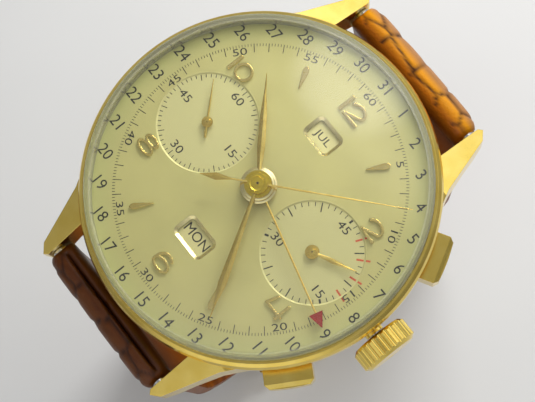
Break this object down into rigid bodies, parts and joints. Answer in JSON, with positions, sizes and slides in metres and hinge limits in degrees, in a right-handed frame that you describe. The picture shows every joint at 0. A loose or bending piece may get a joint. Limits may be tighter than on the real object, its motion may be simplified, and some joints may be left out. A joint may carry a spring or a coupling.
{
  "type": "wrist chronograph",
  "caption": "Gold wrist chronograph with a triple calendar, domed crystal, fluted crown, two pushers and a buckled leather strap, with its movement inside.",
  "frame": {"origin": "centre of the flat outer face of the case back", "axes": "+Z out through the dial, +Y towards 12 o'clock, +X towards the crown at 3 o'clock"},
  "size_m": [0.041, 0.0452, 0.0586],
  "materials": {
    "gold": "polished yellow gold",
    "crystal": "clear acrylic",
    "dial": "champagne silvered",
    "hand_gold": "polished gold",
    "date_red": "gold hand with a red tip",
    "steel": "polished steel",
    "movement_brass": "gilt brass",
    "print_disc": "ivory lacquer",
    "blued": "blued steel",
    "leather": "glossy grained leather"
  },
  "bodies": {
    "case": {"case_middle": "gold", "bezel": "gold", "crystal": "crystal", "case_back": "gold", "crown_tube": "gold", "spring_bars": "steel", "dial": "dial", "hour_markers": "gold", "main_plate": "movement_brass", "barrel_bridge": "movement_brass", "train_bridge": "movement_brass", "balance_cock": "movement_brass", "pallet_cock": "movement_brass", "chronograph_bridge": "movement_brass", "movement_screws": "steel", "strap_buckle_side": "leather", "strap_tail_side": "leather", "fixed_keeper": "leather", "hairspring": "blued"},
    "minute_hand_arbor": {"minute_hand": "hand_gold", "cannon_pinion": "steel"},
    "minute_wheel_body": {"minute_wheel": "movement_brass"},
    "hour_hand_arbor": {"hour_hand": "hand_gold", "hour_wheel": "movement_brass"},
    "fourth_arbor": {"fourth_wheel": "movement_brass", "small_seconds_hand": "hand_gold"},
    "third_arbor": {"third_wheel": "movement_brass"},
    "centre_arbor": {"centre_wheel": "movement_brass"},
    "barrel_body": {"barrel_drum": "movement_brass", "mainspring": "steel"},
    "escape_arbor": {"escape_wheel": "steel"},
    "coupling_wheel_body": {"coupling_wheel": "movement_brass"},
    "chronograph_arbor": {"chronograph_runner": "movement_brass", "chronograph_hand": "hand_gold"},
    "recorder_arbor": {"minute_recorder": "movement_brass", "minute_counter_hand": "hand_gold"},
    "date_arbor": {"date_wheel": "movement_brass", "date_hand": "date_red"},
    "day_body": {"day_disc": "print_disc"},
    "month_body": {"month_disc": "print_disc"},
    "winding_body": {"winding_pinion": "steel"},
    "crown_body": {"crown": "gold", "winding_stem": "steel"},
    "crown_wheel_body": {"crown_wheel": "steel"},
    "ratchet_body": {"ratchet_wheel": "steel"},
    "click_body": {"click": "steel"},
    "balance_body": {"balance_wheel": "movement_brass"},
    "pallet_body": {"pallet_fork": "steel"},
    "coupling_lever_body": {"coupling_lever": "steel"},
    "column_body": {"column_wheel": "steel"},
    "start_button": {"start_pusher": "gold"},
    "reset_button": {"reset_pusher": "gold"},
    "operating_lever_body": {"operating_lever": "steel"},
    "reset_hammer_body": {"reset_hammer": "steel"},
    "date_button": {"date_corrector": "gold"},
    "day_button": {"day_corrector": "gold"},
    "month_button": {"month_corrector": "gold"},
    "loose_keeper_body": {"loose_keeper": "leather"},
    "buckle_body": {"buckle_frame": "gold"},
    "tongue_body": {"buckle_tongue": "gold"}
  },
  "joints": [
    {"name": "minute_hand_turn", "type": "hinge", "parent": "case", "child": "minute_hand_arbor", "pos_m": [0, 0, 0.009], "axis": [0, 0, -1], "continuous": true},
    {"name": "minute_wheel_turn", "type": "hinge", "parent": "case", "child": "minute_wheel_body", "pos_m": [0.00135, -0.00234, 0.0062], "axis": [0, 0, -1], "continuous": true},
    {"name": "hour_hand_turn", "type": "hinge", "parent": "case", "child": "hour_hand_arbor", "pos_m": [0, 0, 0.0087], "axis": [0, 0, -1], "continuous": true},
    {"name": "seconds_turn", "type": "hinge", "parent": "case", "child": "fourth_arbor", "pos_m": [-0.00886, 0, 0.0038], "axis": [0, 0, -1], "continuous": true},
    {"name": "third_turn", "type": "hinge", "parent": "case", "child": "third_arbor", "pos_m": [-0.00484, -0.00239, 0.0043], "axis": [0, 0, -1], "continuous": true},
    {"name": "centre_turn", "type": "hinge", "parent": "case", "child": "centre_arbor", "pos_m": [0, 0, 0.0048], "axis": [0, 0, -1], "continuous": true},
    {"name": "barrel_turn", "type": "hinge", "parent": "case", "child": "barrel_body", "pos_m": [0.00464, 0.00426, 0.004], "axis": [0, 0, -1], "continuous": true},
    {"name": "escape_turn", "type": "hinge", "parent": "case", "child": "escape_arbor", "pos_m": [-0.00796, 0.00335, 0.0048], "axis": [0, 0, -1], "continuous": true},
    {"name": "coupling_wheel_turn", "type": "hinge", "parent": "coupling_lever_body", "child": "coupling_wheel_body", "pos_m": [-0.00464, 0.00201, 0.00155], "axis": [0, 0, -1], "continuous": true},
    {"name": "chronograph_turn", "type": "hinge", "parent": "case", "child": "chronograph_arbor", "pos_m": [0, 0, 0.0094], "axis": [0, 0, -1], "continuous": true},
    {"name": "minute_counter_turn", "type": "hinge", "parent": "case", "child": "recorder_arbor", "pos_m": [0.00886, 0, 0.0079], "axis": [0, 0, -1], "continuous": true},
    {"name": "date_turn", "type": "hinge", "parent": "case", "child": "date_arbor", "pos_m": [0, 0, 0.0083], "axis": [0, 0, -1], "continuous": true},
    {"name": "day_turn", "type": "hinge", "parent": "case", "child": "day_body", "pos_m": [-0.0042, -0.00847, 0.00705], "axis": [0, 0, -1], "continuous": true},
    {"name": "month_turn", "type": "hinge", "parent": "case", "child": "month_body", "pos_m": [-0.0042, 0.00847, 0.00705], "axis": [0, 0, -1], "continuous": true},
    {"name": "crown_turn", "type": "hinge", "parent": "case", "child": "winding_body", "pos_m": [0.0128, 0, 0.00375], "axis": [1, 0, 0], "continuous": true},
    {"name": "crown_pull", "type": "slide", "parent": "winding_body", "child": "crown_body", "axis": [1, 0, 0], "range_m": [0, 0.001]},
    {"name": "crown_wheel_turn", "type": "hinge", "parent": "case", "child": "crown_wheel_body", "pos_m": [0.00886, 0, 0.0023], "axis": [0, 0, 1], "continuous": true},
    {"name": "ratchet_turn", "type": "hinge", "parent": "case", "child": "ratchet_body", "pos_m": [0.00464, 0.00426, 0.0023], "axis": [0, 0, 1], "continuous": true},
    {"name": "click_swing", "type": "hinge", "parent": "case", "child": "click_body", "pos_m": [0.0032, 0.0082, 0.0023], "axis": [0, 0, 1], "range_deg": [-6, 6]},
    {"name": "balance_swing", "type": "hinge", "parent": "case", "child": "balance_body", "pos_m": [-0.00516, 0.0082, 0.0038], "axis": [0, 0, 1], "range_deg": [-270, 270], "deforming": ["hairspring"]},
    {"name": "pallet_swing", "type": "hinge", "parent": "case", "child": "pallet_body", "pos_m": [-0.00671, 0.00551, 0.0048], "axis": [0, 0, 1], "range_deg": [-5, 5]},
    {"name": "coupling_lever_swing", "type": "hinge", "parent": "case", "child": "coupling_lever_body", "pos_m": [-0.00886, 0, 0.0021], "axis": [0, 0, -1], "range_deg": [0, 6]},
    {"name": "column_wheel_turn", "type": "hinge", "parent": "case", "child": "column_body", "pos_m": [-0.001, 0.0113, 0.0021], "axis": [0, 0, 1], "continuous": true},
    {"name": "start_press", "type": "slide", "parent": "case", "child": "start_button", "axis": [-0.866, -0.5, 0], "range_m": [0, 0.001], "stiffness_N_per_m": 600},
    {"name": "reset_press", "type": "slide", "parent": "case", "child": "reset_button", "axis": [-0.866, 0.5, 0], "range_m": [0, 0.001], "stiffness_N_per_m": 600},
    {"name": "operating_lever_swing", "type": "hinge", "parent": "case", "child": "operating_lever_body", "pos_m": [0.007, 0.0106, 0.0022], "axis": [0, 0, 1], "range_deg": [-14, 0]},
    {"name": "reset_hammer_swing", "type": "hinge", "parent": "case", "child": "reset_hammer_body", "pos_m": [-0.004, -0.005, 0.0019], "axis": [0, 0, 1], "range_deg": [0, 12]},
    {"name": "date_correct", "type": "slide", "parent": "case", "child": "date_button", "axis": [0.9848, 0.1736, 0], "range_m": [0, 0.0004], "stiffness_N_per_m": 400},
    {"name": "day_correct", "type": "slide", "parent": "case", "child": "day_button", "axis": [0.2419, 0.9703, 0], "range_m": [0, 0.0004], "stiffness_N_per_m": 400},
    {"name": "month_correct", "type": "slide", "parent": "case", "child": "month_button", "axis": [-0.2419, -0.9703, 0], "range_m": [0, 0.0004], "stiffness_N_per_m": 400},
    {"name": "keeper_slide", "type": "slide", "parent": "case", "child": "loose_keeper_body", "axis": [0, 1, 0], "range_m": [-0.001, 0.001]},
    {"name": "buckle_swing", "type": "hinge", "parent": "case", "child": "buckle_body", "pos_m": [0, -0.0024, -0.042], "axis": [1, 0, 0], "range_deg": [0, 10]},
    {"name": "tongue_swing", "type": "hinge", "parent": "buckle_body", "child": "tongue_body", "pos_m": [0, -0.0024, -0.042], "axis": [1, 0, 0], "range_deg": [0, 12]}
  ],
  "couplings": [
    {"joint": "minute_wheel_turn", "follows": "minute_hand_turn", "ratio": -0.33333},
    {"joint": "hour_hand_turn", "follows": "minute_hand_turn", "ratio": 0.083333},
    {"joint": "third_turn", "follows": "seconds_turn", "ratio": -0.13333},
    {"joint": "centre_turn", "follows": "seconds_turn", "ratio": 0.016667},
    {"joint": "barrel_turn", "follows": "seconds_turn", "ratio": -0.0027778},
    {"joint": "escape_turn", "follows": "seconds_turn", "ratio": -10},
    {"joint": "coupling_wheel_turn", "follows": "seconds_turn", "ratio": -2.4},
    {"joint": "minute_counter_turn", "follows": "chronograph_turn", "ratio": 0.022222},
    {"joint": "crown_wheel_turn", "follows": "crown_turn", "ratio": 0.38889},
    {"joint": "ratchet_turn", "follows": "crown_turn", "ratio": -0.58333},
    {"joint": "operating_lever_swing", "follows": "start_press", "rad_per_m": -186.62},
    {"joint": "reset_hammer_swing", "follows": "reset_press", "rad_per_m": 189.57}
  ]
}
